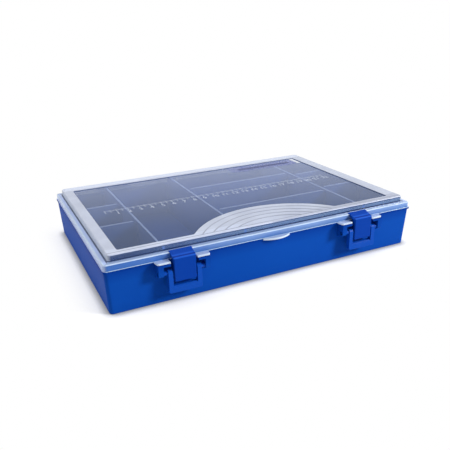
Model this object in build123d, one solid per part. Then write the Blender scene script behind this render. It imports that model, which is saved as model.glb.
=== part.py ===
from build123d import *
import os
from math import sqrt

# Flat fishing tackle box: a drafted blue tray, a clear hinged lid with a raised panel,
# two toggle latches on the front, two pinned hinges behind, and slotted partitions inside.
# Millimetres, +Z up. The origin is the middle of the tray's flat underside, X runs along
# the front from left to right, and the front faces -Y.

# Overall size of the closed box
box_width = 274.0
box_depth = 183.0
parting_height = 34.6
skirt_height = 5.1
panel_rise = 5.1

# Tray
tray_wall = 1.8
tray_floor = 2.0
tray_draft = 1.7
tray_corner = 3.0
tray_foot_round = 0.8
tray_floor_bevel = 0.8
rim_out = 0.6
rim_height = 1.0
rim_corner = 2.2

# Lid
lid_wall = 1.5
lid_panel = 1.6
lid_lift = 0.15
flange_width = 4.2
step_draft = 0.6
step_corner = 2.6
panel_edge_round = 0.7
skirt_edge_bevel = 0.5
bead_out = 0.4
bead_height = 0.6
window_left = 13.2
window_right = 16.4
window_front = 11.3
window_rear = 17.1
window_depth = 0.6
window_corner = 1.5

# Thumb grip moulded in the panel: a fan with raised arcs
fan_radius = 79.7
fan_reach = 43.9
fan_arc_step = 7.0
fan_first_arc = 5.9
fan_arc_width = 0.9
fan_arc_rise = 0.25
fan_arc_front = 7.5
fan_arc_count = 4
fan_blend = 3.0

# Finger tongue and the shelves beside each latch, all on the lid's lower rim
tongue_width = 26.6
tongue_out = 4.5
tongue_thick = 1.6
shelf_thick = 1.1
shelf_drop = 0.5
shelf_out = 6.6
shelf_inner = 10.5
shelf_outer = 20.2
shelf_flare = 1.2
shelf_corner = 0.8
catch_width = 12.0
catch_out = 3.2
catch_thick = 1.7

# Locating tongues inside the lid
locator_length = 20.0
locator_thick = 1.2
locator_drop = 2.2
locator_spacing = 57.0

# Latches
latch_spacing = 160.0
ear_out = 7.4
ear_inner = 16.2
ear_outer = 20.3
ear_bar_inner = 10.8
ear_bar_thick = 1.6
ear_foot_slope = 2.0
lever_pivot_out = 4.9
lever_pivot_drop = 8.2
lever_pin_radius = 1.6
lever_pin_end = 18.8
lever_width = 26.0
lever_arm = 3.5
lever_thick = 4.8
lever_bar_thick = 3.5
lever_bar_height = 5.5
lever_below_pivot = 15.9
lever_corner = 1.6
lever_bar_chamfer = 0.8
hook_width = 17.0
hook_flare = 0.4
hook_thick = 1.8
hook_standoff = 7.9
hook_lip_thick = 2.2
hook_nose_reach = 1.8
hook_nose_thick = 0.7
hook_top_fall = 2.7
hook_root_fall = 1.5
hook_pivot_out = 5.7
hook_pivot_drop = 5.5
hook_rise = 0.1
hook_tail = 1.7
hook_barrel_radius = 1.7
hook_pin_radius = 1.2
hook_pin_end = 11.7
hook_gusset_thick = 1.2
hook_gusset_reach = 3.6
hook_gusset_drop = 5.2
hook_edge_bevel = 0.4
hook_brow_round = 0.7
hook_tail_round = 1.2

# Hinges
hinge_spacing = 160.0
hinge_out = 5.0
hinge_radius = 3.0
hinge_pin_radius = 1.2
lid_knuckle_width = 20.0
tray_knuckle_width = 4.5
hinge_root_height = 3.6
hinge_ear_root = 7.5

# Partitions, front to rear, and dividers, left to right
plate_thick = 1.6
plate_corner = 3.0
plate_foot_chamfer = 1.6
partition_left_x = 91.5
partition_middle_x = 24.5
partition_right_x = 89.5
side_divider_y = 24.5
middle_divider_y = 33.0
guide_width = 1.2
guide_depth = 1.5
guide_top_drop = 1.6
guide_lead_in = 1.0

# Clearances, and the overrun of every cut
running_gap = 0.08
press_gap = 0.03
slide_gap = 0.3
slot_gap = 0.25
seat_gap = 0.1
panel_gap = 0.7
hinge_side_gap = 0.4
catch_gap = 0.1
overrun = 1.0

# Heights and half sizes that follow from the sizes above
half_width = box_width / 2
half_depth = box_depth / 2
skirt_bottom = parting_height + lid_lift
skirt_top = parting_height + skirt_height
panel_top = skirt_top + panel_rise
panel_under = panel_top - lid_panel
step_inner_inset = flange_width + step_draft + lid_wall
plate_bottom = tray_floor + seat_gap
plate_top = panel_under - panel_gap
shelf_bottom = parting_height - shelf_drop
shelf_top = shelf_bottom + shelf_thick
tongue_bottom = shelf_top - tongue_thick
ear_top = shelf_bottom - slide_gap
guide_top = parting_height - guide_top_drop
hinge_y = half_depth + hinge_out
latch_x = latch_spacing / 2
hinge_x = hinge_spacing / 2
lever_pivot = (-half_depth - lever_pivot_out, parting_height - lever_pivot_drop)
hook_pivot = (-half_depth - hook_pivot_out, lever_pivot[1] - hook_pivot_drop)
lip_top = skirt_top + hook_rise
lip_bottom = lip_top - hook_lip_thick
catch_top = lip_bottom - catch_gap


def tray_inset(z):
    """How far the tray's outer face stands in from its rim at a height."""
    return tray_draft * (1 - z / parting_height)


def inner_half_depth(z):
    return half_depth - tray_inset(z) - tray_wall


def inner_half_width(z):
    return half_width - tray_inset(z) - tray_wall


def rounded_slice(z, inset, corner):
    """A rounded rectangle at a height, set in from the lid's outer size."""
    return Plane.XY.offset(z) * RectangleRounded(box_width - 2 * inset, box_depth - 2 * inset, corner)


def drafted_block(z_low, inset_low, z_high, inset_high, corner):
    return loft([rounded_slice(z_low, inset_low, corner), rounded_slice(z_high, inset_high, corner)], ruled=True)


def across(points, x_low, x_high):
    """A solid with a (y, z) outline that runs along X between two places."""
    outline = Plane.YZ.offset(x_low) * make_face(Polyline(*points, close=True))
    return extrude(outline, amount=x_high - x_low)


def along_depth(points, y_low, y_high):
    """A solid with an (x, z) outline that runs along Y between two places."""
    outline = Plane.XZ.offset(-y_high) * make_face(Polyline(*points, close=True))
    return extrude(outline, amount=y_high - y_low)


def rod(centre, radius, x_low, x_high):
    """A round bar along X, through a (y, z) centre."""
    return extrude(Plane.YZ.offset(x_low) * Pos(*centre) * Circle(radius), amount=x_high - x_low)


def edges_at(solid, axis, place):
    """The edges whose middle lies at one place along an axis."""
    return [edge for edge in solid.edges() if abs(tuple(edge @ 0.5)[axis] - place) < press_gap]


def guide_spans(place):
    """The two spans, either side of a plate's slot, that a pair of guide ribs fills."""
    inner = plate_thick / 2 + slot_gap
    return [(place - inner - guide_width, place - inner), (place + inner, place + inner + guide_width)]


def wall_guide_points(low, high, sign):
    """A guide rib's outline on a drafted wall, from the wall's inner face at foot and top."""
    root = tray_wall / 2
    return [
        (sign * (low + root), tray_floor - root),
        (sign * (low - guide_depth), tray_floor - root),
        (sign * (high - guide_depth), guide_top - guide_lead_in),
        (sign * (high - guide_depth + guide_lead_in), guide_top),
        (sign * (high + root), guide_top),
    ]


def side_guide(y, x_sign):
    """Two ribs on a tray side wall that hold a divider's end between them."""
    points = wall_guide_points(inner_half_width(tray_floor), inner_half_width(guide_top), x_sign)
    return [along_depth(points, y_low, y_high) for y_low, y_high in guide_spans(y)]


def end_guide(x, y_sign):
    """Two ribs on the tray's front or rear wall that hold a partition's end."""
    points = wall_guide_points(inner_half_depth(tray_floor), inner_half_depth(guide_top), y_sign)
    return [across(points, x_low, x_high) for x_low, x_high in guide_spans(x)]


def latch_ears(x):
    """The tray's two angled ears that carry one lever, with their pin holes."""
    pivot_y, pivot_z = lever_pivot
    wall_y = -half_depth + tray_wall / 2
    front_y = -half_depth - ear_out
    nose = ear_out - lever_pivot_out
    leg_points = [
        (wall_y, ear_top),
        (front_y, ear_top),
        (front_y, pivot_z),
        (pivot_y, pivot_z - nose),
        (wall_y + tray_inset(pivot_z - nose), pivot_z - nose - ear_foot_slope),
    ]
    bar_points = [
        (wall_y, ear_top),
        (front_y, ear_top),
        (front_y, ear_top - ear_bar_thick),
        (wall_y, ear_top - ear_bar_thick),
    ]
    ears = []
    for side in (-1, 1):
        leg_low = x + min(side * ear_inner, side * ear_outer)
        bar_low = x + min(side * ear_bar_inner, side * ear_outer)
        leg = across(leg_points, leg_low, leg_low + ear_outer - ear_inner)
        leg += rod(lever_pivot, nose, leg_low, leg_low + ear_outer - ear_inner)
        bar = across(bar_points, bar_low, bar_low + ear_outer - ear_bar_inner)
        hole = rod(lever_pivot, lever_pin_radius + running_gap, leg_low - overrun,
                   leg_low + ear_outer - ear_inner + overrun)
        ears.append(leg + bar - hole)
    return ears


def tray_knuckles(x):
    """The tray's two hinge knuckles beside one lid knuckle, bored for the pin."""
    wall_y = half_depth - tray_wall / 2
    centre = (hinge_y, parting_height)
    points = [
        (wall_y, parting_height - slot_gap),
        (half_depth + bead_out + slide_gap, parting_height - slot_gap),
        (hinge_y - hinge_radius / 2, parting_height + hinge_radius * sqrt(3) / 2),
        (hinge_y + hinge_radius, parting_height),
        (hinge_y, parting_height - hinge_radius),
        (wall_y - tray_inset(parting_height - hinge_ear_root), parting_height - hinge_ear_root),
    ]
    knuckles = []
    for side in (-1, 1):
        inner = lid_knuckle_width / 2 + hinge_side_gap
        x_low = x + min(side * inner, side * (inner + tray_knuckle_width))
        x_high = x_low + tray_knuckle_width
        knuckle = across(points, x_low, x_high) + rod(centre, hinge_radius, x_low, x_high)
        knuckle -= rod(centre, hinge_pin_radius + press_gap, x_low - overrun, x_high + overrun)
        knuckles.append(knuckle)
    return knuckles


def make_tray():
    """The open tray: drafted walls, a thin rim, guide ribs, latch ears and hinge knuckles."""
    outside = drafted_block(0, tray_draft, parting_height, 0, tray_corner)
    outside = fillet(outside.edges().group_by(Axis.Z)[0], tray_foot_round)
    rim = drafted_block(parting_height - rim_height, -rim_out, parting_height, -rim_out, rim_corner)
    cavity_corner = tray_corner - tray_wall
    cavity = drafted_block(tray_floor, tray_inset(tray_floor) + tray_wall,
                           parting_height, tray_wall, cavity_corner)
    cavity = chamfer(cavity.edges().group_by(Axis.Z)[0], tray_floor_bevel)
    mouth = drafted_block(parting_height - press_gap, tray_wall, parting_height + overrun, tray_wall, cavity_corner)
    tray = outside + rim - cavity - mouth
    additions = []
    for x in (-latch_x, latch_x):
        additions += latch_ears(x)
    for x in (-hinge_x, hinge_x):
        additions += tray_knuckles(x)
    for x in (-partition_left_x, -partition_middle_x, partition_right_x):
        additions += end_guide(x, -1) + end_guide(x, 1)
    for y in (-side_divider_y, side_divider_y):
        additions += side_guide(y, -1) + side_guide(y, 1)
    return tray + additions


def rim_shelf(x_low, x_high, outer_side):
    """A flat shelf on the lid's lower rim, hung in front of the tray's rim and wider at its root."""
    front_y = -half_depth - shelf_out
    back_y = -half_depth - rim_out - slide_gap
    root_y = -half_depth + lid_wall / 2
    points = [
        (root_y, skirt_bottom),
        (back_y, skirt_bottom),
        (back_y, shelf_bottom),
        (front_y, shelf_bottom),
        (front_y, shelf_top),
        (root_y, shelf_top),
    ]
    outer_x = x_high if outer_side > 0 else x_low
    inner_x = x_low if outer_side > 0 else x_high
    plan = [
        (inner_x, root_y),
        (inner_x, front_y),
        (outer_x, front_y),
        (outer_x + outer_side * shelf_flare, -half_depth),
        (outer_x + outer_side * shelf_flare, root_y),
    ]
    shelf = across(points, x_low - shelf_flare, x_high + shelf_flare)
    shelf &= extrude(Plane.XY * make_face(Polyline(*plan, close=True)), amount=panel_top)
    corner = [edge for edge in edges_at(shelf, 1, front_y) if abs((edge @ 0.5).X - outer_x) < press_gap]
    return chamfer(corner, shelf_corner)


def finger_tongue():
    """The half-moon tongue at the middle of the lid's front rim."""
    half = tongue_width / 2
    radius = (half * half + tongue_out * tongue_out) / (2 * tongue_out)
    centre_y = -half_depth - tongue_out + radius
    disc = extrude(Plane.XY.offset(tongue_bottom) * Pos(0, centre_y) * Circle(radius), amount=tongue_thick)
    root_y = -half_depth + lid_wall / 2
    back_y = -half_depth - rim_out - slide_gap
    span = 2 * radius
    disc -= Pos(0, root_y) * Box(span, span, box_depth, align=(Align.CENTER, Align.MIN, Align.CENTER))
    disc -= Pos(0, back_y, skirt_bottom) * Box(span, span, tongue_thick, align=(Align.CENTER, Align.MIN, Align.MAX))
    return disc


def catch_rib(x):
    """The rib on the skirt that the hook's lip pulls down on."""
    low = x - catch_width / 2
    root_y = -half_depth + lid_wall / 2
    points = [
        (root_y, catch_top),
        (-half_depth - catch_out, catch_top),
        (-half_depth - catch_out, catch_top - catch_thick / 2),
        (-half_depth, catch_top - catch_thick),
        (root_y, catch_top - catch_thick),
    ]
    return across(points, low, low + catch_width)


def locator_points(half_size, sign):
    """The outline of a tongue that hangs from the lid's flange just inside a tray wall."""
    outer = half_size - tray_wall - slide_gap
    skirt = half_size - lid_wall / 2
    flange = skirt_top - lid_panel / 2
    return [
        (sign * skirt, skirt_bottom + lid_lift),
        (sign * outer, skirt_bottom + lid_lift),
        (sign * outer, parting_height - locator_drop / 2),
        (sign * (outer - locator_thick / 2), parting_height - locator_drop),
        (sign * (outer - locator_thick), parting_height - locator_drop),
        (sign * (outer - locator_thick), flange),
        (sign * skirt, flange),
    ]


def end_locator(x, y_sign):
    """A tongue under the lid that enters the tray beside its front or rear wall."""
    return across(locator_points(half_depth, y_sign), x - locator_length / 2, x + locator_length / 2)


def side_locator(x_sign):
    """The same tongue beside one of the tray's side walls."""
    return along_depth(locator_points(half_width, x_sign), -locator_length / 2, locator_length / 2)


def lid_knuckle(x):
    """The lid's middle knuckle of one hinge, carried by an arm from the skirt."""
    root_y = half_depth - lid_wall / 2
    centre = (hinge_y, parting_height)
    root_low = skirt_bottom + slot_gap
    points = [
        (root_y, root_low),
        (hinge_y - hinge_radius, parting_height),
        (hinge_y, parting_height - hinge_radius),
        (hinge_y + hinge_radius * sqrt(3) / 2, parting_height + hinge_radius / 2),
        (root_y, root_low + hinge_root_height),
    ]
    low = x - lid_knuckle_width / 2
    high = x + lid_knuckle_width / 2
    knuckle = across(points, low, high) + rod(centre, hinge_radius, low, high)
    return knuckle - rod(centre, hinge_pin_radius + running_gap, low - overrun, high + overrun)


def fan_centre_y():
    return -half_depth + fan_reach - fan_radius


def window_recess():
    """The shallow recess of the clear window, which leaves the fan standing with blended tips."""
    width = box_width - window_left - window_right
    depth = box_depth - window_front - window_rear
    middle = ((window_left - window_right) / 2, (window_front - window_rear) / 2)
    floor_plane = Plane.XY.offset(panel_top - window_depth)
    outline = Pos(*middle) * RectangleRounded(width, depth, window_corner)
    fan = Pos(0, fan_centre_y()) * Circle(fan_radius)
    opening = outline - fan
    front_y = -half_depth + window_front
    tips = [tip for tip in opening.vertices() if abs(tip.Y - front_y) < press_gap and abs(tip.X) < fan_radius]
    opening = fillet(tips, fan_blend)
    return extrude(floor_plane * opening, amount=window_depth + overrun)


def fan_arcs():
    """The raised arcs across the fan, cut off behind the panel's front edge."""
    front_y = -half_depth + fan_arc_front
    band = Pos(0, front_y) * Rectangle(2 * fan_radius, fan_reach, align=(Align.CENTER, Align.MIN))
    plane = Plane.XY.offset(panel_top - fan_arc_rise)
    arcs = []
    for number in range(fan_arc_count):
        outer = fan_radius - fan_first_arc - number * fan_arc_step
        ring = Circle(outer) - Circle(outer - fan_arc_width)
        sketch = (Pos(0, fan_centre_y()) * ring) & band
        arcs.append(extrude(plane * sketch, amount=2 * fan_arc_rise))
    return arcs


def make_lid():
    """The clear lid: skirt, flange, raised panel with its window, and the moulded fittings."""
    skirt = drafted_block(skirt_bottom, 0, skirt_top, 0, tray_corner)
    skirt = chamfer(skirt.edges().group_by(Axis.Z)[-1], skirt_edge_bevel)
    raised = drafted_block(skirt_top - lid_panel, flange_width, panel_top, flange_width + step_draft, step_corner)
    raised = fillet(raised.edges().group_by(Axis.Z)[-1], panel_edge_round)
    bead = drafted_block(skirt_bottom, -bead_out, skirt_bottom + bead_height, -bead_out, tray_corner)
    low_room = drafted_block(skirt_bottom - overrun, lid_wall, skirt_top - lid_panel, lid_wall, tray_corner - lid_wall)
    high_room = drafted_block(skirt_bottom, flange_width + lid_wall, panel_under, step_inner_inset,
                              step_corner - lid_wall)
    lid = skirt + raised + bead - low_room - high_room - window_recess()
    additions = fan_arcs() + [finger_tongue()]
    for x in (-latch_x, latch_x):
        additions.append(rim_shelf(x - shelf_outer, x - shelf_inner, -1))
        additions.append(rim_shelf(x + shelf_inner, x + shelf_outer, 1))
        additions.append(catch_rib(x))
    for x in (-hinge_x, hinge_x):
        additions.append(lid_knuckle(x))
    for x in (-locator_spacing, locator_spacing):
        additions += [end_locator(x, -1), end_locator(x, 1)]
    additions += [side_locator(-1), side_locator(1)]
    return lid + additions


def make_lever(x):
    """The U-shaped lever: two rounded arms, a finger bar and pivot pins moulded on the arms."""
    pivot_y, pivot_z = lever_pivot
    half_thick = lever_thick / 2
    front_y = pivot_y - half_thick
    bottom_z = pivot_z - lever_below_pivot
    bar_top = bottom_z + lever_bar_height
    half = lever_width / 2
    points = [
        (front_y, pivot_z),
        (front_y, bottom_z),
        (front_y + lever_bar_thick, bottom_z),
        (front_y + lever_bar_thick, bar_top),
        (front_y + lever_thick, pivot_z),
    ]
    frame = across(points, x - half, x + half) + rod(lever_pivot, half_thick, x - half, x + half)
    corners = [edge for edge in edges_at(frame, 2, bottom_z) if edge.length < lever_thick]
    frame = fillet(corners, lever_corner)
    gap = half - lever_arm
    frame -= Pos(x, pivot_y, bar_top) * Box(2 * gap, box_depth, box_depth,
                                           align=(Align.CENTER, Align.CENTER, Align.MIN))
    brow = [edge for edge in edges_at(frame, 2, bar_top) if abs((edge @ 0.5).Y - front_y) < press_gap]
    frame = chamfer(brow, lever_bar_chamfer)
    for side in (-1, 1):
        pin_low = x + min(side * (half - overrun), side * lever_pin_end)
        frame += rod(lever_pivot, lever_pin_radius, pin_low, pin_low + lever_pin_end - half + overrun)
        hole_end = hook_pin_end + slide_gap
        hole_low = x + min(side * (gap - overrun), side * hole_end)
        frame -= rod(hook_pivot, hook_pin_radius + running_gap, hole_low, hole_low + hole_end - gap + overrun)
    return frame


def make_hook(x):
    """The hook plate: a flat face, a sloped lip over the catch with a nose over the rim, gussets and a barrel."""
    pivot_y, pivot_z = hook_pivot
    face_y = -half_depth - hook_standoff
    back_y = face_y + hook_thick
    tip_y = -half_depth - slide_gap
    tail_z = pivot_z - hook_tail
    half = hook_width / 2
    nose_y = -half_depth + hook_nose_reach
    nose_top = lip_top + hook_nose_thick
    brow_z = nose_top - hook_top_fall
    plate_points = [
        (face_y, tail_z),
        (back_y, tail_z),
        (back_y, lip_bottom - hook_root_fall),
        (-half_depth - catch_out - slide_gap, lip_bottom),
        (tip_y, lip_bottom),
        (tip_y, lip_top),
        (nose_y, lip_top),
        (nose_y, nose_top),
        (face_y, brow_z),
    ]
    wide = half + hook_flare
    plan = [
        (x - half, face_y),
        (x + half, face_y),
        (x + wide, nose_y),
        (x - wide, nose_y),
    ]
    plate = across(plate_points, x - wide, x + wide)
    plate &= extrude(Plane.XY * make_face(Polyline(*plan, close=True)), amount=panel_top)
    plate = fillet([edge for edge in edges_at(plate, 2, tail_z) if edge.length < hook_lip_thick], hook_tail_round)
    sides = [edge for edge in plate.edges().filter_by(Axis.Z) if abs((edge @ 0.5).Y - face_y) < press_gap]
    plate = chamfer(sides, hook_edge_bevel)
    brow = [edge for edge in edges_at(plate, 2, brow_z) if abs((edge @ 0.5).Y - face_y) < press_gap]
    plate = fillet(brow, hook_brow_round)
    web_points = [
        (face_y + hook_thick / 2, pivot_z - hook_barrel_radius),
        (pivot_y, pivot_z - hook_barrel_radius),
        (pivot_y, pivot_z + hook_barrel_radius),
        (face_y + hook_thick / 2, pivot_z + 2 * hook_barrel_radius),
    ]
    gusset_points = [
        (back_y - hook_thick / 2, lip_bottom),
        (back_y + hook_gusset_reach, lip_bottom + hook_lip_thick / 4),
        (back_y + hook_gusset_reach, lip_bottom),
        (back_y, lip_bottom - hook_gusset_drop),
        (back_y - hook_thick / 2, lip_bottom - hook_gusset_drop),
    ]
    hook = plate + across(web_points, x - half, x + half)
    hook += rod(hook_pivot, hook_barrel_radius, x - half, x + half)
    hook += across(gusset_points, x - half, x - half + hook_gusset_thick)
    hook += across(gusset_points, x + half - hook_gusset_thick, x + half)
    hook += rod(hook_pivot, hook_pin_radius, x - hook_pin_end, x + hook_pin_end)
    return hook


def make_hinge_pin(x):
    """The steel pin through one hinge's three knuckles."""
    half = lid_knuckle_width / 2 + hinge_side_gap + tray_knuckle_width
    pin = rod((hinge_y, parting_height), hinge_pin_radius, x - half, x + half)
    return chamfer(pin.edges().filter_by(GeomType.CIRCLE), running_gap)


def plate_end(half_inside_foot, half_inside_rim, half_size):
    """A plate's end beside a drafted wall, from the foot up: a shoulder at the rim, then the high middle."""
    low = half_inside_foot - slide_gap
    high = half_inside_rim - slide_gap
    shoulder = guide_top - slide_gap
    shoulder_in = high - (locator_thick + slide_gap + guide_depth)
    top = half_size - step_inner_inset - slide_gap
    return [
        (low - plate_foot_chamfer, plate_bottom),
        (low, plate_bottom + plate_foot_chamfer),
        (high, shoulder - guide_depth),
        (shoulder_in, shoulder),
        (top, plate_top - plate_corner),
        (top - plate_corner, plate_top),
    ]


def partition_outline():
    """The (y, z) outline of a partition, alike at the front and the rear."""
    rear = plate_end(inner_half_depth(plate_bottom), inner_half_depth(guide_top), half_depth)
    front = [(-y, z) for y, z in reversed(rear)]
    return rear + front


def guide_pair(x_face, x_sign, y):
    """Two ribs on a partition's face that hold a divider's end."""
    root = x_face - x_sign * plate_thick / 2
    tip = x_face + x_sign * guide_depth
    points = [(root, plate_bottom), (tip, plate_bottom), (tip, guide_top), (root, guide_top)]
    return [along_depth(points, y_low, y_high) for y_low, y_high in guide_spans(y)]


def make_partition(x, left_places, right_places):
    """A partition that runs front to rear, with divider guides on its faces."""
    half = plate_thick / 2
    plate = across(partition_outline(), x - half, x + half)
    ribs = []
    for y in left_places:
        ribs += guide_pair(x - half, -1, y)
    for y in right_places:
        ribs += guide_pair(x + half, 1, y)
    return plate + ribs


def wall_end(x_sign):
    """The (x, z) points of a divider's end beside a tray side wall, from the foot up."""
    points = plate_end(inner_half_width(plate_bottom), inner_half_width(guide_top), half_width)
    return [(x_sign * x, z) for x, z in points]


def partition_end(x, x_sign):
    """The (x, z) points of a divider's end against a partition, from the foot up."""
    end = x - x_sign * (plate_thick / 2 + slide_gap)
    return [
        (end, plate_bottom),
        (end, plate_top - plate_corner),
        (end - x_sign * plate_corner, plate_top),
    ]


def make_divider(left_end, right_end, y):
    """A divider that stands between two guides, from its two end outlines."""
    points = left_end + list(reversed(right_end))
    return along_depth(points, y - plate_thick / 2, y + plate_thick / 2)


def make_dividers():
    """All six dividers by name."""
    left_column = (wall_end(-1), partition_end(-partition_left_x, 1), side_divider_y)
    middle_column = (partition_end(-partition_middle_x, -1), partition_end(partition_right_x, 1), middle_divider_y)
    right_column = (partition_end(partition_right_x, -1), wall_end(1), side_divider_y)
    columns = {"left": left_column, "middle": middle_column, "right": right_column}
    dividers = {}
    for name, (left_end, right_end, place) in columns.items():
        dividers["divider_" + name + "_front"] = make_divider(left_end, right_end, -place)
        dividers["divider_" + name + "_rear"] = make_divider(left_end, right_end, place)
    return dividers


def make_box():
    """Every piece of the box by node name."""
    side_places = (-side_divider_y, side_divider_y)
    middle_places = (-middle_divider_y, middle_divider_y)
    pieces = {
        "base_tray": make_tray(),
        "lid": make_lid(),
        "latch_lever_left": make_lever(-latch_x),
        "latch_lever_right": make_lever(latch_x),
        "latch_hook_left": make_hook(-latch_x),
        "latch_hook_right": make_hook(latch_x),
        "hinge_pin_left": make_hinge_pin(-hinge_x),
        "hinge_pin_right": make_hinge_pin(hinge_x),
        "partition_left": make_partition(-partition_left_x, side_places, ()),
        "partition_middle": make_partition(-partition_middle_x, (), middle_places),
        "partition_right": make_partition(partition_right_x, middle_places, side_places),
    }
    pieces.update(make_dividers())
    return pieces


os.makedirs("parts", exist_ok=True)
for node, solid in make_box().items():
    export_step(solid, "parts/" + node + ".step")
    print(node, round(solid.volume), "mm3")
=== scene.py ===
"""Finishes, printed ruler, bare label and studio of a flat tackle box with a clear lid."""

import logging
from dataclasses import dataclass, field
from enum import Enum
from math import radians
from typing import Any, Iterable, Optional, Union

import bmesh
import bpy
from mathutils import Matrix, Vector


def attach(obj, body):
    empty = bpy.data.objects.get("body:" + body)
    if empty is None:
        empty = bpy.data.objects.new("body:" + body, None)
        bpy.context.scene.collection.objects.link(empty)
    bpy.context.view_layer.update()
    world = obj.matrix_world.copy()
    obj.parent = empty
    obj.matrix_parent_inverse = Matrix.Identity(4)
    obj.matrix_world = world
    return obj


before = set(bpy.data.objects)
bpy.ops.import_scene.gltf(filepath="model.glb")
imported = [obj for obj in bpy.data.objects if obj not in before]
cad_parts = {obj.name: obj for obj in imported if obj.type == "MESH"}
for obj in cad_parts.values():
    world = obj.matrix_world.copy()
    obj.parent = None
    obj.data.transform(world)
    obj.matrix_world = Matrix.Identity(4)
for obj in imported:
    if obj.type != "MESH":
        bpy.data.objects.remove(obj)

LOG = logging.getLogger("tackle_box")
MM = 0.001
HALF_WIDTH_MM = 137.0
HALF_DEPTH_MM = 91.5
WINDOW_FLOOR_MM = 44.2
NOISE_LOW = 0.3
NOISE_HIGH = 0.7
COARSE_DETAIL = 1.0
MIDDLE_DETAIL = 2.0
FINE_DETAIL = 3.0
EDGE_SAMPLES = 4
PLASTIC_IOR = 1.49
MM_PER_CM = 10
# The Mix node's first, second and result sockets, by data type.
MIX_SOCKETS = {"RGBA": (6, 7, 2), "FLOAT": (2, 3, 0)}

Colour = tuple[float, float, float]
Socket = bpy.types.NodeSocket
Value = Union[float, Socket]


class Side(Enum):
    """The two latches and hinges, by the sign of their place along X."""

    LEFT = -1
    RIGHT = 1


class Zone(Enum):
    """The zones of the lid's finish, in the order that they lie: some carry the plastic's own look, many carry
    painted shade and painted highlights.
    """

    SKIRT = "skirt"
    SKIRT_TOP = "skirt top"
    SKIRT_LEFT = "skirt left"
    BEAD = "bead"
    SIDE_SKIRT = "side skirt"
    RIM = "rim"
    SIDE_RIM = "side rim"
    RIM_LINE = "rim line"
    STEP = "step"
    STEP_LEFT = "step left"
    STEP_PLATE = "step plate"
    STEP_FOOT = "step foot"
    STEP_BROW = "step brow"
    SIDE_STEP = "side step"
    SIDE_FOOT = "side foot"
    EDGE = "edge"
    FROST = "frost"
    REAR_FROST = "rear frost"
    FRONT_FROST = "front frost"
    CORNER_FROST = "corner frost"
    SEAM = "seam"
    ARC_SIDE = "arc side"
    ARC = "arc"
    SHELF = "shelf"
    SHELF_EDGE = "shelf edge"
    WINDOW_SIDE = "window side"
    WINDOW = "window"
    WINDOW_REAR = "window rear"
    INNER_WALL = "inner wall"
    UNDERSIDE = "underside"


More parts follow.
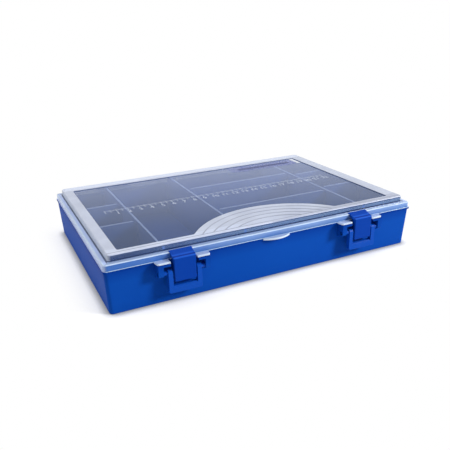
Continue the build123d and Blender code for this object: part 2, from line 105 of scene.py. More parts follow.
class Graph:
    """A node tree under construction, in a material or the world."""

    def __init__(self, tree: bpy.types.NodeTree) -> None:
        """Clears the tree and keeps it.

        Args:
            tree: The node tree of a material or of the world.
        """
        self.tree = tree
        self.tree.nodes.clear()

    def node(self, kind: str, inputs: Optional[dict[str, Any]] = None, **settings: Any) -> bpy.types.Node:
        """Adds a node, sets its options and feeds its inputs.

        Args:
            kind: The node's type name.
            inputs: Values or sockets, by the input's name or index.
            settings: The node's own options.

        Returns:
            The new node.
        """
        node = self.tree.nodes.new(kind)
        for name, value in settings.items():
            setattr(node, name, value)
        for name, value in (inputs or {}).items():
            self.feed(node.inputs[name], value)
        return node

    def feed(self, target: Socket, value: Any) -> None:
        """Links a socket to an input, or sets the input's own value.

        Args:
            target: The input to feed.
            value: A socket, a number, a vector or a colour.
        """
        if isinstance(value, bpy.types.NodeSocket):
            self.tree.links.new(value, target)
        elif isinstance(value, tuple) and target.type == "RGBA":
            target.default_value = (*value, 1.0)
        else:
            target.default_value = value

    def math(self, operation: str, first: Value, second: Value = 0.0, third: Value = 0.0,
             clamp: bool = False) -> Socket:
        """One Math node.

        Args:
            operation: The node's operation.
            first: The first operand.
            second: The second operand.
            third: The third operand, for the operations that take one.
            clamp: Whether the result stays between 0 and 1.

        Returns:
            The result's socket.
        """
        inputs = {0: first, 1: second, 2: third}
        return self.node("ShaderNodeMath", inputs, operation=operation, use_clamp=clamp).outputs[0]

    def remap(self, value: Value, low: float, high: float, start: float = 0.0, end: float = 1.0) -> Socket:
        """A straight, clamped ramp from one range to another.

        Args:
            value: The number to map.
            low: Where the ramp begins.
            high: Where it ends.
            start: The result at its beginning.
            end: The result at its end.

        Returns:
            The mapped number's socket.
        """
        names = {"Value": value, "From Min": low, "From Max": high, "To Min": start, "To Max": end}
        return self.node("ShaderNodeMapRange", names).outputs[0]

    def blend(self, share: Value, first: Any, second: Any, kind: str = "RGBA") -> Socket:
        """A Mix node between two colours or two numbers.

        Args:
            share: How much of the second shows.
            first: The colour or number at 0.
            second: The colour or number at 1.
            kind: RGBA or FLOAT.

        Returns:
            The mixed value's socket.
        """
        first_in, second_in, result = MIX_SOCKETS[kind]
        inputs = {0: share, first_in: first, second_in: second}
        return self.node("ShaderNodeMix", inputs, data_type=kind).outputs[result]

    def both(self, first: Value, second: Value) -> Socket:
        """The overlap of two masks.

        Args:
            first: One mask.
            second: The other mask.

        Returns:
            Their product's socket.
        """
        return self.math("MULTIPLY", first, second)

    def inverse(self, mask: Value) -> Socket:
        """The rest of a mask.

        Args:
            mask: The mask to turn over.

        Returns:
            The socket of 1 less the mask.
        """
        return self.math("SUBTRACT", 1.0, mask)

    def place(self) -> Socket:
        """The Object coordinates, in metres.

        Returns:
            The coordinates' socket.
        """
        return self.node("ShaderNodeTexCoord").outputs["Object"]

    def axes(self, place: Socket) -> Any:
        """Takes a place apart.

        Args:
            place: The coordinates.

        Returns:
            The sockets of X, Y and Z.
        """
        return self.node("ShaderNodeSeparateXYZ", {0: place}).outputs

    def sees_backdrop(self) -> Socket:
        """Tells the rays that see the surroundings from those that carry light.

        Returns:
            A socket that is 1 for camera, glossy and transmission rays.
        """
        path = self.node("ShaderNodeLightPath").outputs
        mirrored = self.math("MAXIMUM", path["Is Glossy Ray"], path["Is Transmission Ray"])
        return self.math("MAXIMUM", path["Is Camera Ray"], mirrored)

    def noise(self, place: Socket, grain_mm: float, detail: float = FINE_DETAIL,
              stretch: Colour = (1, 1, 1)) -> Socket:
        """A noise pattern of a real grain size.

        Args:
            place: The coordinates that it lies on.
            grain_mm: The size of its patches.
            detail: How many finer layers it has.
            stretch: How much longer the patches are along each axis.

        Returns:
            The pattern's height, around a half.
        """
        scale = tuple(1.0 / (grain_mm * MM * part) for part in stretch)
        spread = self.node("ShaderNodeMapping", {"Vector": place, "Scale": scale}).outputs[0]
        inputs = {"Vector": spread, "Scale": 1.0, "Detail": detail}
        return self.node("ShaderNodeTexNoise", inputs).outputs[0]

    def bump(self, height: Socket, depth_mm: float, normal: Optional[Socket] = None) -> Socket:
        """A bump from a pattern, laid over another normal where one is given.

        Args:
            height: The pattern, from 0 to 1.
            depth_mm: How deep it is.
            normal: The normal that it disturbs.

        Returns:
            The new normal's socket.
        """
        inputs: dict[str, Any] = {"Height": height, "Distance": depth_mm * MM, "Strength": 1.0}
        if normal is not None:
            inputs["Normal"] = normal
        return self.node("ShaderNodeBump", inputs).outputs[0]

    def soft_edge(self, radius_mm: float) -> Socket:
        """A normal that is rounded over at sharp edges.

        Args:
            radius_mm: How far the rounding reaches.

        Returns:
            The normal's socket.
        """
        inputs = {"Radius": radius_mm * MM}
        return self.node("ShaderNodeBevel", inputs, samples=EDGE_SAMPLES).outputs[0]

    def output(self, shader: Socket, kind: str = "ShaderNodeOutputMaterial") -> None:
        """Connects a shader to the tree's output.

        Args:
            shader: The shader's socket.
            kind: The output node's type name.
        """
        self.node(kind, {"Surface": shader})

    def surface(self, inputs: dict[str, Any]) -> None:
        """Ends the tree in a Principled shader.

        Args:
            inputs: Values or sockets, by the input's name.
        """
        self.output(self.node("ShaderNodeBsdfPrincipled", inputs).outputs[0])


def new_material(name: str) -> tuple[bpy.types.Material, Graph]:
    """Starts a material with an empty node tree.

    Args:
        name: The material's name.

    Returns:
        The material and the graph of its tree.
    """
    material = bpy.data.materials.new(name)
    material.use_nodes = True
    return material, Graph(material.node_tree)


@dataclass(frozen=True)
class ShadeLine:
    """A band of painted shade or painted highlight between two heights, along a crease, an edge or a wall's
    top.
    """

    from_mm: float
    to_mm: float
    colour: Colour
    soft_mm: float = 0.08

    def mask(self, graph: Graph, height: Socket) -> Socket:
        """A mask that is 1 on the band.

        Args:
            graph: The tree to build in.
            height: The place's height.

        Returns:
            The mask's socket.
        """
        start, end = (graph.remap(height, (edge_mm - self.soft_mm) * MM, (edge_mm + self.soft_mm) * MM)
                      for edge_mm in (self.from_mm, self.to_mm))
        return graph.math("SUBTRACT", start, end)


@dataclass(frozen=True)
class MouldedPlastic:
    """An opaque moulded plastic with faint flow mottling, a fine grain and softened edges; where asked, it
    also has a painted lighter top and painted bands of shade and highlight.
    """

    name: str
    colour: Colour
    pale: Colour
    mottle_mm: float = 26.0
    mottle_from: float = 0.35
    mottle_share: float = 0.35
    grain_mm: float = 0.45
    grain_depth_mm: float = 0.006
    wave_mm: float = 14.0
    wave_depth_mm: float = 0.03
    roughness: float = 0.34
    roughness_spread: float = 0.08
    edge_mm: float = 0.3
    specular: float = 0.3
    pale_above_mm: float = 1000.0
    pale_soft_mm: float = 0.3
    edge_colour: Colour = (0.30, 0.42, 0.85)
    lines: tuple[ShadeLine, ...] = ()

    def material(self) -> bpy.types.Material:
        """Builds the finish.

        Returns:
            The material, ready for a slot.
        """
        material, graph = new_material(self.name)
        place = graph.place()
        mottle = graph.noise(place, self.mottle_mm)
        share = graph.remap(mottle, self.mottle_from, NOISE_HIGH, 0.0, self.mottle_share)
        grain = graph.noise(place, self.grain_mm)
        wave = graph.noise(place, self.wave_mm, COARSE_DETAIL)
        normal = graph.bump(wave, self.wave_depth_mm, graph.soft_edge(self.edge_mm))
        height = graph.axes(place)["Z"]
        # Painted highlight: above a set height the colour turns to a lighter top colour.
        top = graph.remap(height, (self.pale_above_mm - self.pale_soft_mm) * MM, self.pale_above_mm * MM)
        colour = graph.blend(top, graph.blend(share, self.colour, self.pale), self.edge_colour)
        # Each band paints shade or a highlight between two heights.
        for line in self.lines:
            colour = graph.blend(line.mask(graph, height), colour, line.colour)
        graph.surface({
            "Base Color": colour,
            "Roughness": graph.remap(grain, NOISE_LOW, NOISE_HIGH, self.roughness - self.roughness_spread,
                                     self.roughness + self.roughness_spread),
            "Normal": graph.bump(grain, self.grain_depth_mm, normal),
            "IOR": PLASTIC_IOR,
            "Specular IOR Level": self.specular,
        })
        return material


@dataclass(frozen=True)
class ZoneFinish:
    """How one zone of the lid looks: its tint (in some zones the plastic's own colour, in others painted shade
    or a painted highlight), its haze and its roughness.
    """

    tint: Colour
    haze: float
    roughness: float


@dataclass(frozen=True)
class ClearLidPlastic:
    """A clear moulded lid with a frosted frame and thumb grip, and a milky skirt, with painted shade and
    painted highlights in many of its zones.
    """

    name: str = "clear_lid_plastic"
    half_width_mm: float = HALF_WIDTH_MM
    half_depth_mm: float = HALF_DEPTH_MM
    bead_top_mm: float = 35.25
    skirt_top_mm: float = 39.7
    panel_top_mm: float = 44.8
    window_floor_mm: float = WINDOW_FLOOR_MM
    underside_mm: float = 43.2
    edge_round_mm: float = 0.7
    skirt_bevel_mm: float = 0.5
    arc_rise_mm: float = 0.25
    shelf_top_mm: float = 35.2
    shelf_edge_mm: float = 5.5
    skirt_inner_mm: float = 0.9
    step_foot_mm: float = 1.3
    step_brow_mm: float = 1.5
    corner_mm: float = 2.6
    side_foot_from_mm: float = 3.4
    side_foot_to_mm: float = 4.5
    step_inner_mm: float = 5.4
    seam_from_mm: float = 7.6
    seam_to_mm: float = 8.3
    window_inner_mm: float = 9.0
    partitions_mm: tuple[float, ...] = (-91.5, -24.5, 89.5)
    plate_half_mm: float = 1.0
    plate_soft_mm: float = 0.5
    left_from_mm: float = -120.0
    left_to_mm: float = -30.0
    right_to_mm: float = 90.0
    rear_from_mm: float = -80.0
    rear_to_mm: float = 70.0
    rear_slant: float = 0.25
    border_mm: float = 77.0
    fade_mm: float = 0.08
    cloud_mm: float = 22.0
    cloud_spread: float = 0.08
    grain_mm: float = 0.5
    grain_depth_mm: float = 0.02
    grain_roughness: float = 0.03
    wave_mm: float = 30.0
    wave_depth_mm: float = 0.05
    soft_edge_mm: float = 0.25
    frosted_from: float = 0.3
    frosted_to: float = 0.5
    gloss_least: float = 0.03
    gloss_rise: float = 0.9
    gloss_power: float = 5.0
    finishes: dict[Zone, ZoneFinish] = field(default_factory=lambda: {
        Zone.SKIRT: ZoneFinish((0.13, 0.31, 0.78), 0.62, 0.22),
        # Painted light: the skirt's face is paler towards its top edge.
        Zone.SKIRT_TOP: ZoneFinish((0.31, 0.50, 0.96), 0.74, 0.22),
        # Painted shade: the skirt is darker towards its left end.
        Zone.SKIRT_LEFT: ZoneFinish((0.06, 0.24, 0.80), 0.62, 0.22),
        # Painted highlight: a bright line along the bead.
        Zone.BEAD: ZoneFinish((0.58, 0.80, 1.00), 0.95, 0.25),
        # Painted light: the side skirts are paler, fading onto the front near the corners.
        Zone.SIDE_SKIRT: ZoneFinish((0.50, 0.62, 0.95), 0.90, 0.30),
        Zone.RIM: ZoneFinish((0.46, 0.60, 0.90), 0.70, 0.25),
        # Painted light: the rim is paler along the sides.
        Zone.SIDE_RIM: ZoneFinish((0.46, 0.58, 0.92), 0.92, 0.35),
        # Painted highlight: a bright line along the skirt's top edge.
        Zone.RIM_LINE: ZoneFinish((0.62, 0.78, 1.00), 0.90, 0.25),
        Zone.STEP: ZoneFinish((0.26, 0.42, 0.72), 0.42, 0.14),
        # Painted shade: the step is darker towards the left.
        Zone.STEP_LEFT: ZoneFinish((0.05, 0.11, 0.30), 0.44, 0.14),
        Zone.STEP_PLATE: ZoneFinish((0.17, 0.33, 0.82), 0.56, 0.14),
        # Painted shade: a dark band at the foot of the step.
        Zone.STEP_FOOT: ZoneFinish((0.01, 0.04, 0.15), 0.82, 0.20),
        # Painted shade: a dark band just under the panel's top edge.
        Zone.STEP_BROW: ZoneFinish((0.07, 0.14, 0.34), 0.60, 0.14),
        # Painted light: the step's side walls are pale, fading onto the front near the corners.
        Zone.SIDE_STEP: ZoneFinish((0.58, 0.64, 0.76), 0.92, 0.45),
        # Painted shade: a dark line at the foot of the side steps.
        Zone.SIDE_FOOT: ZoneFinish((0.08, 0.12, 0.22), 0.90, 0.30),
        # Painted highlight: the panel's rounded top edge is paler.
        Zone.EDGE: ZoneFinish((0.66, 0.72, 0.90), 0.85, 0.30),
        Zone.FROST: ZoneFinish((0.58, 0.63, 0.76), 0.88, 0.55),
        # Painted light: the frost is paler along the rear border.
        Zone.REAR_FROST: ZoneFinish((0.68, 0.74, 0.90), 0.90, 0.55),
        # Painted light: the front border's frost is paler towards the left.
        Zone.FRONT_FROST: ZoneFinish((0.64, 0.70, 0.86), 0.90, 0.55),
        # Painted shade: the front border's frost is darker towards the right.
        Zone.CORNER_FROST: ZoneFinish((0.46, 0.50, 0.62), 0.88, 0.55),
        # Painted shade: a dark line along the front border.
        Zone.SEAM: ZoneFinish((0.22, 0.25, 0.35), 0.90, 0.50),
        # Painted shade on the sides of the grip arcs.
        Zone.ARC_SIDE: ZoneFinish((0.16, 0.19, 0.30), 0.90, 0.55),
        # Painted shade: the grip arcs' tops are darker than the frost.
        Zone.ARC: ZoneFinish((0.42, 0.45, 0.56), 0.85, 0.50),
        Zone.SHELF: ZoneFinish((0.38, 0.48, 0.76), 0.72, 0.30),
        # Painted highlight: a bright band along the shelf's edge.
        Zone.SHELF_EDGE: ZoneFinish((0.74, 0.86, 1.00), 0.92, 0.25),
        # Painted shade: the walls of the window's recess are dark.
        Zone.WINDOW_SIDE: ZoneFinish((0.10, 0.14, 0.30), 0.85, 0.25),
        Zone.WINDOW: ZoneFinish((0.05, 0.11, 0.26), 0.36, 0.10),
        # Painted light: the window is paler towards the rear.
        Zone.WINDOW_REAR: ZoneFinish((0.29, 0.39, 0.70), 0.40, 0.10),
        Zone.INNER_WALL: ZoneFinish((0.16, 0.24, 0.46), 0.50, 0.20),
        Zone.UNDERSIDE: ZoneFinish((0.40, 0.46, 0.60), 0.03, 0.20),
    })

    def above(self, graph: Graph, value: Socket, edge_mm: float) -> Socket:
        """A mask that is 1 above a place along an axis.

        Args:
            graph: The tree to build in.
            value: The coordinate along the axis.
            edge_mm: Where the mask changes.

        Returns:
            The mask's socket.
        """
        return graph.remap(value, (edge_mm - self.fade_mm) * MM, (edge_mm + self.fade_mm) * MM)

    def below(self, graph: Graph, value: Socket, edge_mm: float) -> Socket:
        """A mask that is 1 below a place along an axis.

        Args:
            graph: The tree to build in.
            value: The coordinate along the axis.
            edge_mm: Where the mask changes.

        Returns:
            The mask's socket.
        """
        return graph.inverse(self.above(graph, value, edge_mm))

    def between(self, graph: Graph, value: Socket, low_mm: float, high_mm: float) -> Socket:
        """A mask that is 1 between two places along an axis.

        Args:
            graph: The tree to build in.
            value: The coordinate along the axis.
            low_mm: Where the mask begins.
            high_mm: Where it ends.

        Returns:
            The mask's socket.
        """
        return graph.both(self.above(graph, value, low_mm), self.below(graph, value, high_mm))

    def near_plate(self, graph: Graph, x: Socket) -> Socket:
        """A mask that is 1 in front of the partitions' ends, which show through the step.

        Args:
            graph: The tree to build in.
            x: The place along the width.

        Returns:
            The mask's socket.
        """
        gap: Any = 1.0
        for middle_mm in self.partitions_mm:
            away = graph.math("ABSOLUTE", graph.math("SUBTRACT", x, middle_mm * MM))
            gap = graph.math("MINIMUM", gap, away)
        return graph.remap(gap, (self.plate_half_mm - self.plate_soft_mm) * MM,
                           (self.plate_half_mm + self.plate_soft_mm) * MM, 1.0, 0.0)

    def masks(self, graph: Graph, place: Socket) -> dict[Zone, Socket]:
        """The masks of the zones over the skirt, by height and by how far in they lie.

        Args:
            graph: The tree to build in.
            place: The Object coordinates.

        Returns:
            A mask for each zone but the skirt, in the order that they lie.
        """
        x, y, z = graph.axes(place)
        from_side = graph.math("SUBTRACT", self.half_width_mm * MM, graph.math("ABSOLUTE", x))
        from_front = graph.math("SUBTRACT", self.half_depth_mm * MM, graph.math("ABSOLUTE", y))
        inset = graph.math("MINIMUM", from_side, from_front)
        toward_side = graph.math("SUBTRACT", from_front, from_side)
        at_side = self.above(graph, toward_side, 0.0)
        soft_side = graph.remap(toward_side, -self.corner_mm * MM, 0.0)
        leftward = graph.remap(x, self.left_from_mm * MM, self.left_to_mm * MM, 1.0, 0.0)
        rightward = graph.remap(x, self.left_to_mm * MM, self.right_to_mm * MM)
        slanted = graph.math("MULTIPLY_ADD", x, self.rear_slant, y)
        rearward = graph.remap(slanted, self.rear_from_mm * MM, self.rear_to_mm * MM)

        rim = self.above(graph, z, self.skirt_top_mm - self.skirt_bevel_mm)
        rim_line = graph.both(rim, self.below(graph, inset, 2 * self.skirt_bevel_mm))
        shelf = self.below(graph, inset, -2 * self.skirt_bevel_mm)
        shelf_edge = graph.math("MAXIMUM", self.below(graph, z, self.shelf_top_mm - self.fade_mm),
                                self.below(graph, inset, -self.shelf_edge_mm))

        step = self.above(graph, z, self.skirt_top_mm + 2 * self.fade_mm)
        step_foot = self.below(graph, z, self.skirt_top_mm + self.step_foot_mm)
        side_step = self.above(graph, z, self.skirt_top_mm + self.step_foot_mm / 2)
        side_foot = graph.both(self.between(graph, from_side, self.side_foot_from_mm, self.side_foot_to_mm),
                               self.below(graph, z, self.skirt_top_mm + 3 * self.fade_mm))

        top = self.above(graph, z, self.panel_top_mm - 2 * self.fade_mm)
        border = graph.both(top, self.below(graph, y, -self.border_mm))
        seam = graph.both(self.between(graph, from_front, self.seam_from_mm, self.seam_to_mm),
                          self.below(graph, y, 0.0))

        inside = self.above(graph, inset, self.window_inner_mm)
        recess = graph.both(inside, self.below(graph, z, self.panel_top_mm - self.fade_mm))
        window = graph.both(inside, self.below(graph, z, self.window_floor_mm + self.fade_mm))
        low_inner = graph.both(self.above(graph, inset, self.skirt_inner_mm),
                               self.below(graph, z, self.skirt_top_mm - self.edge_round_mm))
        high_inner = graph.both(self.above(graph, inset, self.step_inner_mm),
                                self.below(graph, z, self.window_floor_mm - 3 * self.fade_mm))
        # Many of these masks place painted shade and painted highlights; the finishes above say which.
        return {
            Zone.SKIRT_TOP: graph.remap(z, self.bead_top_mm * MM, self.skirt_top_mm * MM),
            Zone.SKIRT_LEFT: leftward,
            Zone.BEAD: self.below(graph, z, self.bead_top_mm),
            Zone.SIDE_SKIRT: soft_side,
            Zone.RIM: graph.both(rim, graph.inverse(at_side)),
            Zone.SIDE_RIM: graph.both(rim, at_side),
            Zone.RIM_LINE: rim_line,
            Zone.STEP: step,
            Zone.STEP_LEFT: graph.both(step, leftward),
            Zone.STEP_PLATE: graph.both(step, self.near_plate(graph, x)),
            Zone.STEP_FOOT: graph.both(step, step_foot),
            Zone.STEP_BROW: self.above(graph, z, self.panel_top_mm - self.step_brow_mm),
            Zone.SIDE_STEP: graph.both(soft_side, side_step),
            Zone.SIDE_FOOT: graph.both(at_side, side_foot),
            Zone.EDGE: self.above(graph, z, self.panel_top_mm - self.edge_round_mm),
            Zone.FROST: top,
            Zone.REAR_FROST: graph.both(top, self.above(graph, y, self.border_mm)),
            Zone.FRONT_FROST: graph.both(border, graph.inverse(rightward)),
            Zone.CORNER_FROST: graph.both(border, rightward),
            Zone.SEAM: graph.both(top, seam),
            Zone.ARC_SIDE: self.above(graph, z, self.panel_top_mm + self.fade_mm),
            Zone.ARC: self.above(graph, z, self.panel_top_mm + self.arc_rise_mm - self.fade_mm),
            Zone.SHELF: shelf,
            Zone.SHELF_EDGE: graph.both(shelf, shelf_edge),
            Zone.WINDOW_SIDE: recess,
            Zone.WINDOW: window,
            Zone.WINDOW_REAR: graph.both(window, rearward),
            Zone.INNER_WALL: graph.math("MAXIMUM", low_inner, high_inner),
            Zone.UNDERSIDE: graph.both(high_inner, self.above(graph, z, self.underside_mm - self.fade_mm)),
        }

    def layered(self, graph: Graph, masks: dict[Zone, Socket], choose: str, kind: str) -> Socket:
        """Lays one property of each zone over the skirt's.

        Args:
            graph: The tree to build in.
            masks: The zones' masks, in the order that they lie.
            choose: The property's name in ZoneFinish.
            kind: RGBA or FLOAT.

        Returns:
            The property's socket.
        """
        result: Any = getattr(self.finishes[Zone.SKIRT], choose)
        for zone, mask in masks.items():
            result = graph.blend(mask, result, getattr(self.finishes[zone], choose), kind)
        return result

    def material(self) -> bpy.types.Material:
        """Builds the finish.

        Returns:
            The material, ready for a slot.
        """
        material, graph = new_material(self.name)
        place = graph.place()
        masks = self.masks(graph, place)
        cloud = graph.remap(graph.noise(place, self.cloud_mm), NOISE_LOW, NOISE_HIGH,
                            1.0 - self.cloud_spread, 1.0 + self.cloud_spread)
        haze = graph.math("MULTIPLY", self.layered(graph, masks, "haze", "FLOAT"), cloud, clamp=True)
        # Painted sheen: the lid turns more opaque at grazing views, so that its lit tint stands in for the
        # reflection there.
        facing = graph.node("ShaderNodeLayerWeight", {"Blend": 0.5}).outputs["Facing"]
        grazing = graph.math("POWER", facing, self.gloss_power)
        painted_sheen = graph.math("MULTIPLY_ADD", grazing, self.gloss_rise, self.gloss_least)
        clear = graph.both(graph.inverse(haze), graph.inverse(painted_sheen))
        grain = graph.noise(place, self.grain_mm)
        roughness = self.layered(graph, masks, "roughness", "FLOAT")
        frosted = graph.both(grain, graph.remap(roughness, self.frosted_from, self.frosted_to))
        normal = graph.bump(frosted, self.grain_depth_mm, graph.soft_edge(self.soft_edge_mm))
        wave = graph.noise(place, self.wave_mm, COARSE_DETAIL)
        rough = graph.remap(grain, NOISE_LOW, NOISE_HIGH, -self.grain_roughness, self.grain_roughness)
        graph.surface({
            "Base Color": self.layered(graph, masks, "tint", "RGBA"),
            "Roughness": graph.math("ADD", roughness, rough),
            "Alpha": graph.math("SUBTRACT", 1.0, clear, clamp=True),
            "Normal": graph.bump(wave, self.wave_depth_mm, normal),
            "IOR": PLASTIC_IOR,
        })
        return material


@dataclass(frozen=True)
class DrawnSteel:
    """Bright drawn wire with fine marks along its length."""

    name: str = "drawn_steel"
    colour: Colour = (0.62, 0.62, 0.64)
    dull: Colour = (0.42, 0.42, 0.44)
    mark_mm: float = 0.3
    mark_stretch: Colour = (20, 1, 1)
    mark_depth_mm: float = 0.004
    smooth: float = 0.22
    rough: float = 0.4

    def material(self) -> bpy.types.Material:
        """Builds the finish.

        Returns:
            The material, ready for a slot.
        """
        material, graph = new_material(self.name)
        marks = graph.noise(graph.place(), self.mark_mm, stretch=self.mark_stretch)
        graph.surface({
            "Base Color": graph.blend(marks, self.colour, self.dull),
            "Metallic": 1.0,
            "Roughness": graph.remap(marks, NOISE_LOW, NOISE_HIGH, self.smooth, self.rough),
            "Normal": graph.bump(marks, self.mark_depth_mm),
        })
        return material


@dataclass(frozen=True)
class ThinFilm:
    """A thin printed or stuck layer: worn white ink, or a translucent film."""

    name: str
    colour: Colour
    cover: float
    worn: float
    roughness: float
    patch_mm: float = 1.2
    patch_from: float = 0.35
    patch_to: float = 0.65
    shade: float = 0.94
    roughness_spread: float = 0.05
    relief_mm: float = 0.003

    def material(self) -> bpy.types.Material:
        """Builds the finish.

        Returns:
            The material, ready for a slot.
        """
        material, graph = new_material(self.name)
        patches = graph.noise(graph.place(), self.patch_mm)
        shaded = tuple(part * self.shade for part in self.colour)
        graph.surface({
            "Base Color": graph.blend(patches, self.colour, shaded),
            "Alpha": graph.remap(patches, self.patch_from, self.patch_to, self.worn, self.cover),
            "Roughness": graph.remap(patches, NOISE_LOW, NOISE_HIGH, self.roughness - self.roughness_spread,
                                     self.roughness + self.roughness_spread),
            "Normal": graph.bump(patches, self.relief_mm),
        })
        return material


def dress(names: Iterable[str], material: bpy.types.Material) -> None:
    """Gives CAD nodes a finish in all their material slots.

    Args:
        names: The nodes.
        material: Their finish.
    """
    for name in names:
        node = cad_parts[name]
        if not node.material_slots:
            node.data.materials.append(material)
        for slot in node.material_slots:
            slot.material = material
        LOG.info("dressed %s in %s", name, material.name)


def add_slab(mesh: bmesh.types.BMesh, middle: Vector, size: Vector) -> None:
    """Adds a flat block to a bmesh.

    Args:
        mesh: The bmesh.
        middle: The block's middle, in millimetres.
        size: Its size, in millimetres.
    """
    shape = Matrix.Translation(middle * MM) @ Matrix.Diagonal((*(size * MM), 1.0))
    bmesh.ops.create_cube(mesh, size=1.0, matrix=shape)


def add_piece(name: str, mesh: bmesh.types.BMesh, material: bpy.types.Material, body: str) -> bpy.types.Object:
    """Makes an object of a finished bmesh and hangs it on a body.

    Args:
        name: The piece's name.
        mesh: Its shape, in metres in the shared frame; it is freed.
        material: Its finish.
        body: The body that it moves with.

    Returns:
        The new object.
    """
    data = bpy.data.meshes.new(name)
    mesh.to_mesh(data)
    mesh.free()
    data.materials.append(material)
    piece = bpy.data.objects.new(name, data)
    bpy.context.scene.collection.objects.link(piece)
    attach(piece, body)
    LOG.info("added %s with %d faces", name, len(data.polygons))
    return piece


@dataclass
class Tray:
    """The open blue tray and what stands in it."""

    node: str = "base_tray"
    plates: tuple[str, ...] = (
        "partition_left", "partition_middle", "partition_right",
        "divider_left_front", "divider_left_rear", "divider_middle_front",
        "divider_middle_rear", "divider_right_front", "divider_right_rear",
    )
    # The wall turns darker towards its top, from about 25 mm up: painted shade under the lid's bead.
    wall_finish: MouldedPlastic = MouldedPlastic(
        "blue_tray_plastic", (0.003, 0.073, 0.43), (0.004, 0.083, 0.46), roughness=0.50, specular=0.03,
        lines=(ShadeLine(29.5, 60.0, (0.002, 0.048, 0.34), 5.0),))
    # The partitions' tops are painted lighter from 42.4 mm up: a painted highlight.
    plate_finish: MouldedPlastic = MouldedPlastic(
        "blue_plate_plastic", (0.02, 0.11, 0.48), (0.03, 0.13, 0.52), roughness=0.42, mottle_mm=12.0,
        pale_above_mm=42.4, edge_colour=(0.46, 0.60, 1.0))

    def build(self) -> None:
        """Dresses the tray, the partitions and the dividers."""
        dress([self.node], self.wall_finish.material())
        dress(self.plates, self.plate_finish.material())


@dataclass
class Latches:
    """Both toggle latches: a hook plate on a U-shaped lever."""

    lever_finish: MouldedPlastic = MouldedPlastic(
        "blue_lever_plastic", (0.003, 0.074, 0.47), (0.004, 0.084, 0.50), edge_mm=0.45, specular=0.08)
    # The hook's brow has painted bands: a dark painted crease shade between two lighter painted highlights.
    hook_finish: MouldedPlastic = MouldedPlastic(
        "blue_hook_plastic", (0.001, 0.048, 0.37), (0.002, 0.056, 0.40), edge_mm=0.5, specular=0.05,
        lines=(ShadeLine(37.2, 38.1, (0.012, 0.095, 0.56)), ShadeLine(38.15, 38.5, (0.000, 0.024, 0.24)),
               ShadeLine(38.5, 39.0, (0.010, 0.085, 0.52))))

    def build(self) -> None:
        """Dresses the levers and the hook plates."""
        sides = [side.name.lower() for side in Side]
        dress(["latch_lever_" + side for side in sides], self.lever_finish.material())
        dress(["latch_hook_" + side for side in sides], self.hook_finish.material())


@dataclass
class Hinges:
    """The steel pins of the rear hinges."""

    finish: DrawnSteel = DrawnSteel()

    def build(self) -> None:
        """Dresses the pins."""
        dress(["hinge_pin_" + side.name.lower() for side in Side], self.finish.material())


@dataclass
class Ruler:
    """The white ruler that is printed across the window: fine marks with numbers in front of them."""

    start_mm: float = -111.5
    centimetres: int = 22
    edge_y_mm: float = 5.6
    surface_mm: float = WINDOW_FLOOR_MM
    ink_mm: float = 0.05
    fine_width_mm: float = 0.24
    mark_width_mm: float = 0.54
    short_mm: float = 3.4
    middle_mm: float = 5.6
    long_mm: float = 7.6
    number_height_mm: float = 5.2
    number_size_share: float = 0.7
    number_y_mm: float = -6.4
    number_stroke_mm: float = 0.10
    ink: ThinFilm = ThinFilm("white_ruler_ink", (0.62, 0.70, 0.88), 0.84, 0.50, 0.5)

    def mark_length(self, millimetre: int) -> float:
        """Chooses the length of one mark.

        Args:
            millimetre: The mark's place on the scale.

        Returns:
            The length, in millimetres.
        """
        if millimetre % MM_PER_CM == 0:
            return self.long_mm
        return self.middle_mm if millimetre % (MM_PER_CM // 2) == 0 else self.short_mm

    def mark_width(self, millimetre: int) -> float:
        """Chooses the width of one mark.

        Args:
            millimetre: The mark's place on the scale.

        Returns:
            The width, in millimetres.
        """
        return self.mark_width_mm if millimetre % (MM_PER_CM // 2) == 0 else self.fine_width_mm

    def marks(self, material: bpy.types.Material) -> None:
        """Prints a mark at every millimetre.

        Args:
            material: The ink.
        """
        mesh = bmesh.new()
        for millimetre in range(self.centimetres * MM_PER_CM + 1):
            length = self.mark_length(millimetre)
            middle = Vector((self.start_mm + millimetre, self.edge_y_mm - length / 2,
                             self.surface_mm + self.ink_mm / 2))
            add_slab(mesh, middle, Vector((self.mark_width(millimetre), length, self.ink_mm)))
        add_piece("ruler_marks", mesh, material, "lid")

    def numbers(self, material: bpy.types.Material) -> None:
        """Prints a number at every centimetre.

        Args:
            material: The ink.
        """
        mesh = bmesh.new()
        for number in range(1, self.centimetres + 1):
            text = bpy.data.curves.new("number", "FONT")
            text.body = str(number)
            text.size = self.number_height_mm * MM / self.number_size_share
            text.align_x = "CENTER"
            text.offset = self.number_stroke_mm * MM
            text.extrude = self.ink_mm * MM / 2
            holder = bpy.data.objects.new("number", text)
            flat = bpy.data.meshes.new_from_object(holder)
            middle = Vector((self.start_mm + number * MM_PER_CM, self.number_y_mm,
                             self.surface_mm + self.ink_mm / 2))
            flat.transform(Matrix.Translation(middle * MM))
            mesh.from_mesh(flat)
            bpy.data.objects.remove(holder)
            bpy.data.meshes.remove(flat)
            bpy.data.curves.remove(text)
        add_piece("ruler_numbers", mesh, material, "lid")

    def build(self) -> None:
        """Prints the marks and the numbers."""
        material = self.ink.material()
        self.marks(material)
        self.numbers(material)


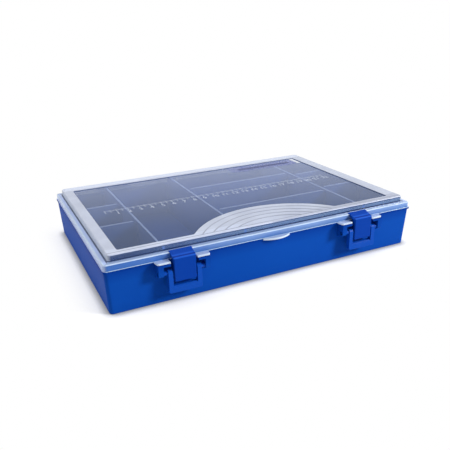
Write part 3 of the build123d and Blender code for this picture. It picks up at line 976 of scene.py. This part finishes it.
@dataclass(frozen=True)
class Patch:
    """A flat rectangle with rounded corners that lies on the window."""

    name: str
    left_mm: float
    right_mm: float
    front_mm: float
    rear_mm: float
    thick_mm: float
    corner_mm: float
    film: ThinFilm
    corner_segments: int = 6

    def build(self, surface_mm: float) -> None:
        """Cuts the patch and lays it down.

        Args:
            surface_mm: The height of the window's surface.
        """
        mesh = bmesh.new()
        middle = Vector(((self.left_mm + self.right_mm) / 2, (self.front_mm + self.rear_mm) / 2,
                         surface_mm + self.thick_mm / 2))
        size = Vector((self.right_mm - self.left_mm, self.rear_mm - self.front_mm, self.thick_mm))
        add_slab(mesh, middle, size)
        upright = [edge for edge in mesh.edges
                   if abs(edge.verts[0].co.z - edge.verts[1].co.z) > self.thick_mm * MM / 2]
        bmesh.ops.bevel(mesh, geom=upright, offset=self.corner_mm * MM, segments=self.corner_segments,
                        profile=0.5, affect="EDGES", material=-1)
        add_piece(self.name, mesh, self.film.material(), "lid")


@dataclass
class BareLabel:
    """The plain label in the window's rear right corner: a film, a blank stripe, and a white bar just right of
    the film.
    """

    surface_mm: float = WINDOW_FLOOR_MM
    patches: tuple[Patch, ...] = (
        Patch("label_film", 37.0, 114.6, 55.5, 73.0, 0.06, 2.0,
              ThinFilm("label_film", (0.36, 0.42, 0.84), 0.36, 0.28, 0.35, 30.0)),
        Patch("label_stripe", 46.0, 108.0, 60.5, 65.5, 0.10, 1.5,
              ThinFilm("label_stripe", (0.02, 0.04, 0.20), 0.66, 0.46, 0.40, 3.0)),
        Patch("white_bar", 115.2, 119.0, 55.5, 73.0, 0.08, 0.6,
              ThinFilm("white_bar", (0.80, 0.84, 0.92), 0.95, 0.85, 0.45, 8.0)),
    )

    def build(self) -> None:
        """Lays the patches on the window."""
        for patch in self.patches:
            patch.build(self.surface_mm)


@dataclass
class Lid:
    """The clear hinged lid with its print."""

    finish: ClearLidPlastic = ClearLidPlastic()
    ruler: Ruler = field(default_factory=Ruler)
    label: BareLabel = field(default_factory=BareLabel)

    def build(self) -> None:
        """Dresses the lid and prints the ruler and the label on it."""
        dress(["lid"], self.finish.material())
        self.ruler.build()
        self.label.build()


@dataclass(frozen=True)
class SoftLight:
    """One large soft lamp."""

    name: str
    place: tuple[float, float, float]
    target: tuple[float, float, float]
    size: float
    power: float
    colour: Colour = (1.0, 1.0, 1.0)

    def build(self) -> None:
        """Hangs the lamp and turns it to its target."""
        data = bpy.data.lights.new(self.name, "AREA")
        data.shape = "SQUARE"
        data.size = self.size
        data.energy = self.power
        data.color = self.colour
        lamp = bpy.data.objects.new(self.name, data)
        lamp.location = self.place
        lamp.rotation_euler = (Vector(self.target) - Vector(self.place)).to_track_quat("-Z", "Y").to_euler()
        bpy.context.scene.collection.objects.link(lamp)


@dataclass
class Studio:
    """The pale floor, the soft lamps, the white surroundings and the camera."""

    floor_size: float = 12.0
    floor_colour: Colour = (0.84, 0.84, 0.84)
    floor_lift: float = 0.40
    speckle_mm: float = 40.0
    speckle_shade: float = 0.985
    contact_mm: float = 7.0
    contact_open: float = 0.5
    contact_shade: float = 0.40
    contact_samples: int = 16
    white_from_mm: float = 1.0
    white_to_mm: float = 24.0
    half_width_mm: float = HALF_WIDTH_MM
    half_depth_mm: float = HALF_DEPTH_MM
    world_strength: float = 0.20
    camera_place: tuple[float, float, float] = (-0.202932, -0.425759, 0.197702)
    camera_turn: tuple[float, float, float] = (68.5405, 1.2848, -25.9157)
    lens_mm: float = 42.918
    clip_start: float = 0.01
    lamps: tuple[SoftLight, ...] = (
        SoftLight("key", (1.0, -0.9, 0.7), (0.0, 0.0, 0.02), 0.36, 18.0),
        SoftLight("top", (-0.1, 0.25, 1.3), (0.0, 0.0, 0.02), 1.1, 8.2),
        SoftLight("fill", (-0.7, -1.0, 0.5), (0.0, 0.0, 0.02), 0.9, 0.6),
        SoftLight("side", (-1.0, 0.35, 0.5), (-0.1, 0.0, 0.02), 0.7, 2.5),
    )

    def outside(self, graph: Graph, place: Socket) -> Socket:
        """How far a place on the floor lies outside the box's outline.

        Args:
            graph: The tree to build in.
            place: The Object coordinates.

        Returns:
            The distance's socket, in metres.
        """
        x, y, _ = graph.axes(place)
        past_side = graph.math("SUBTRACT", graph.math("ABSOLUTE", x), self.half_width_mm * MM)
        past_front = graph.math("SUBTRACT", graph.math("ABSOLUTE", y), self.half_depth_mm * MM)
        past = graph.node("ShaderNodeCombineXYZ", {
            0: graph.math("MAXIMUM", past_side, 0.0), 1: graph.math("MAXIMUM", past_front, 0.0)}).outputs[0]
        return graph.node("ShaderNodeVectorMath", {0: past}, operation="LENGTH").outputs["Value"]

    def floor(self) -> None:
        """Lays the floor, which keeps the object's shadow.

        Away from the object it fades to plain white, for the camera and for rays that reflect from
        the object or pass through it, and never for light.
        """
        mesh = bmesh.new()
        bmesh.ops.create_grid(mesh, x_segments=1, y_segments=1, size=self.floor_size / 2)
        data = bpy.data.meshes.new("floor")
        mesh.to_mesh(data)
        mesh.free()
        material, graph = new_material("pale_floor")
        seen = graph.sees_backdrop()
        place = graph.place()
        speckle = graph.noise(place, self.speckle_mm, MIDDLE_DETAIL)
        dull = tuple(part * self.speckle_shade for part in self.floor_colour)
        colour = graph.blend(speckle, self.floor_colour, dull)
        # Painted contact shade: for the rays that see the backdrop, an occlusion test darkens the floor's
        # colour and its glow near the object.
        open_sky = graph.node("ShaderNodeAmbientOcclusion", {"Distance": self.contact_mm * MM},
                              samples=self.contact_samples).outputs["AO"]
        painted_contact = graph.remap(open_sky, self.contact_open, 1.0, self.contact_shade, 1.0)
        painted_contact = graph.blend(seen, 1.0, painted_contact, "FLOAT")
        lit = graph.node("ShaderNodeBsdfDiffuse", {"Color": graph.blend(painted_contact, (0.0, 0.0, 0.0), colour)})
        lift = graph.math("MULTIPLY", graph.both(seen, painted_contact), self.floor_lift)
        glow = graph.node("ShaderNodeEmission", {"Strength": lift})
        near = graph.node("ShaderNodeAddShader", {0: lit.outputs[0], 1: glow.outputs[0]})
        away = graph.remap(self.outside(graph, place), self.white_from_mm * MM, self.white_to_mm * MM)
        white = graph.node("ShaderNodeEmission", {"Strength": 1.0})
        graph.output(graph.node("ShaderNodeMixShader", {
            0: graph.both(seen, away), 1: near.outputs[0], 2: white.outputs[0]}).outputs[0])
        data.materials.append(material)
        floor = bpy.data.objects.new("floor", data)
        bpy.context.scene.collection.objects.link(floor)

    def surroundings(self) -> None:
        """Sets a world that is white where it is seen, reflected or looked through, and dim as light."""
        world = bpy.data.worlds.new("white_room")
        world.use_nodes = True
        bpy.context.scene.world = world
        graph = Graph(world.node_tree)
        strength = graph.blend(graph.sees_backdrop(), self.world_strength, 1.0, "FLOAT")
        sky = graph.node("ShaderNodeBackground", {"Color": (1.0, 1.0, 1.0), "Strength": strength})
        graph.output(sky.outputs[0], "ShaderNodeOutputWorld")

    def camera(self) -> None:
        """Stands the camera where the photograph was taken from."""
        data = bpy.data.cameras.new("camera")
        data.lens = self.lens_mm
        data.clip_start = self.clip_start
        camera = bpy.data.objects.new("camera", data)
        camera.location = self.camera_place
        camera.rotation_euler = [radians(angle) for angle in self.camera_turn]
        bpy.context.scene.collection.objects.link(camera)
        bpy.context.scene.camera = camera

    def build(self) -> None:
        """Sets up the whole studio."""
        bpy.context.scene.view_settings.view_transform = "Standard"
        self.floor()
        self.surroundings()
        self.camera()
        for lamp in self.lamps:
            lamp.build()


def main() -> None:
    """Builds every sub-assembly."""
    logging.basicConfig(level=logging.INFO, format="%(name)s: %(message)s")
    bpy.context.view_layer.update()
    for part in (Tray(), Latches(), Hinges(), Lid(), Studio()):
        LOG.info("building %s", type(part).__name__)
        part.build()


if __name__ == "__main__":
    main()
